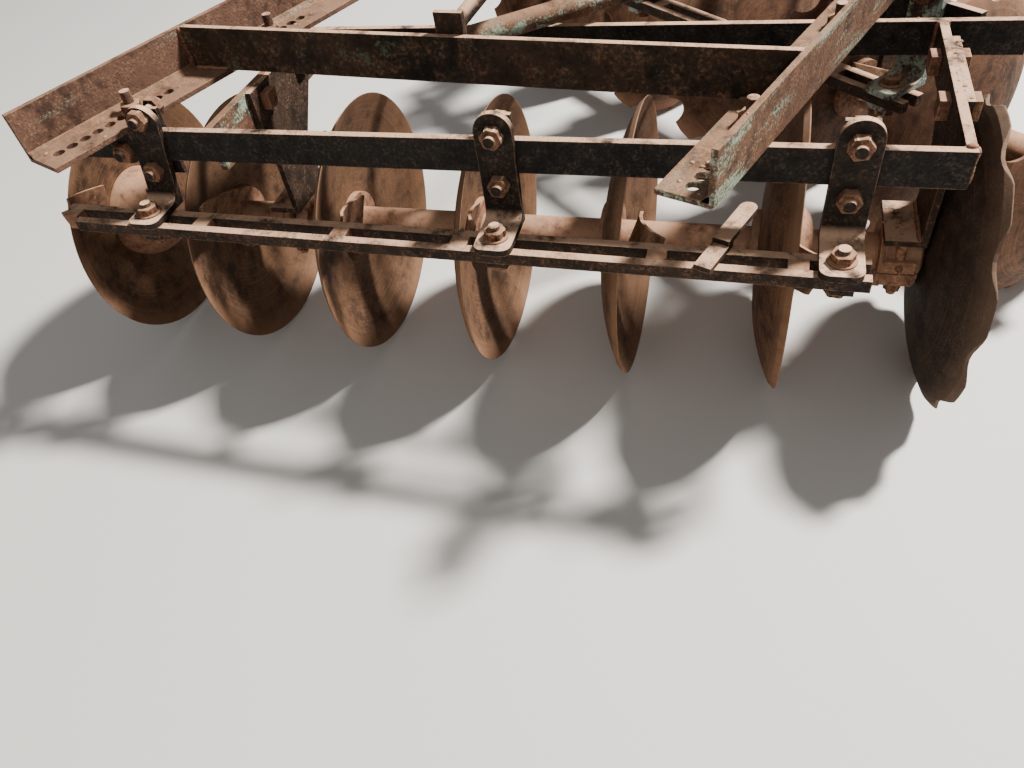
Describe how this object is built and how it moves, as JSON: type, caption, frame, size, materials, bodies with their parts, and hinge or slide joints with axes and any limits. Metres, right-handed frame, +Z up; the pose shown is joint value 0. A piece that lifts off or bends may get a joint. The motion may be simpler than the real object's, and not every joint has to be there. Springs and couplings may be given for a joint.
{
  "type": "disc harrow",
  "caption": "Mounted offset disc harrow with two gangs of dished discs on an angle-iron frame, with scrapers and a three-point headstock.",
  "frame": {"origin": "on the ground, below the middle of the box round the whole harrow", "axes": "+Y the way the harrow travels, +X to its right, +Z up"},
  "size_m": [1.6278, 2.0089, 1.051],
  "materials": {
    "disc_rust": "even brown rust, matte",
    "casting": "rusty casting, matte",
    "bar_rust": "dark pitted rust",
    "worn_steel": "pale worn rust",
    "frame_paint": "worn pale green paint over rust"
  },
  "bodies": {
    "frame": {"main_angle_left": "frame_paint", "main_angle_right": "frame_paint", "cross_beam_rear": "bar_rust", "cross_beam_front": "bar_rust", "headstock_tube": "frame_paint", "link_plates": "frame_paint", "link_pins": "worn_steel", "mast_left": "frame_paint", "mast_right": "frame_paint", "mast_head": "frame_paint", "mast_stay": "bar_rust", "diagonal_pipe": "frame_paint", "rear_trailing_bar": "bar_rust", "rear_leading_bar": "bar_rust", "rear_end_bar": "bar_rust", "rear_cross_plate": "frame_paint", "rear_cleats": "bar_rust", "rear_hangers": "bar_rust", "rear_scraper_bars": "worn_steel", "rear_scrapers": "worn_steel", "scraper_lever": "worn_steel", "rear_end_standard": "bar_rust", "rear_end_bearing": "casting", "rear_cross_standard": "bar_rust", "rear_cross_bearing": "casting", "front_trailing_bar": "bar_rust", "front_leading_bar": "bar_rust", "front_end_bar": "bar_rust", "front_cross_plate": "frame_paint", "front_cleats": "bar_rust", "front_hangers": "bar_rust", "front_scraper_bars": "worn_steel", "front_scrapers": "worn_steel", "front_end_standard": "bar_rust", "front_end_bearing": "casting", "front_cross_standard": "bar_rust", "front_cross_bearing": "casting"},
    "rear_gang": {"rear_axle": "worn_steel", "rear_discs": "disc_rust", "rear_end_disc": "disc_rust", "rear_spools": "casting", "rear_bells": "casting"},
    "front_gang": {"front_axle": "worn_steel", "front_discs": "disc_rust", "front_spools": "casting", "front_bells": "casting"}
  },
  "joints": [
    {"name": "rear_gang_spin", "type": "hinge", "parent": "frame", "child": "rear_gang", "pos_m": [-0.087, -0.5328, 0.236], "axis": [0.9336, 0.3584, 0], "continuous": true},
    {"name": "front_gang_spin", "type": "hinge", "parent": "frame", "child": "front_gang", "pos_m": [0.087, 0.2892, 0.236], "axis": [-0.9336, 0.3584, 0], "continuous": true}
  ]
}
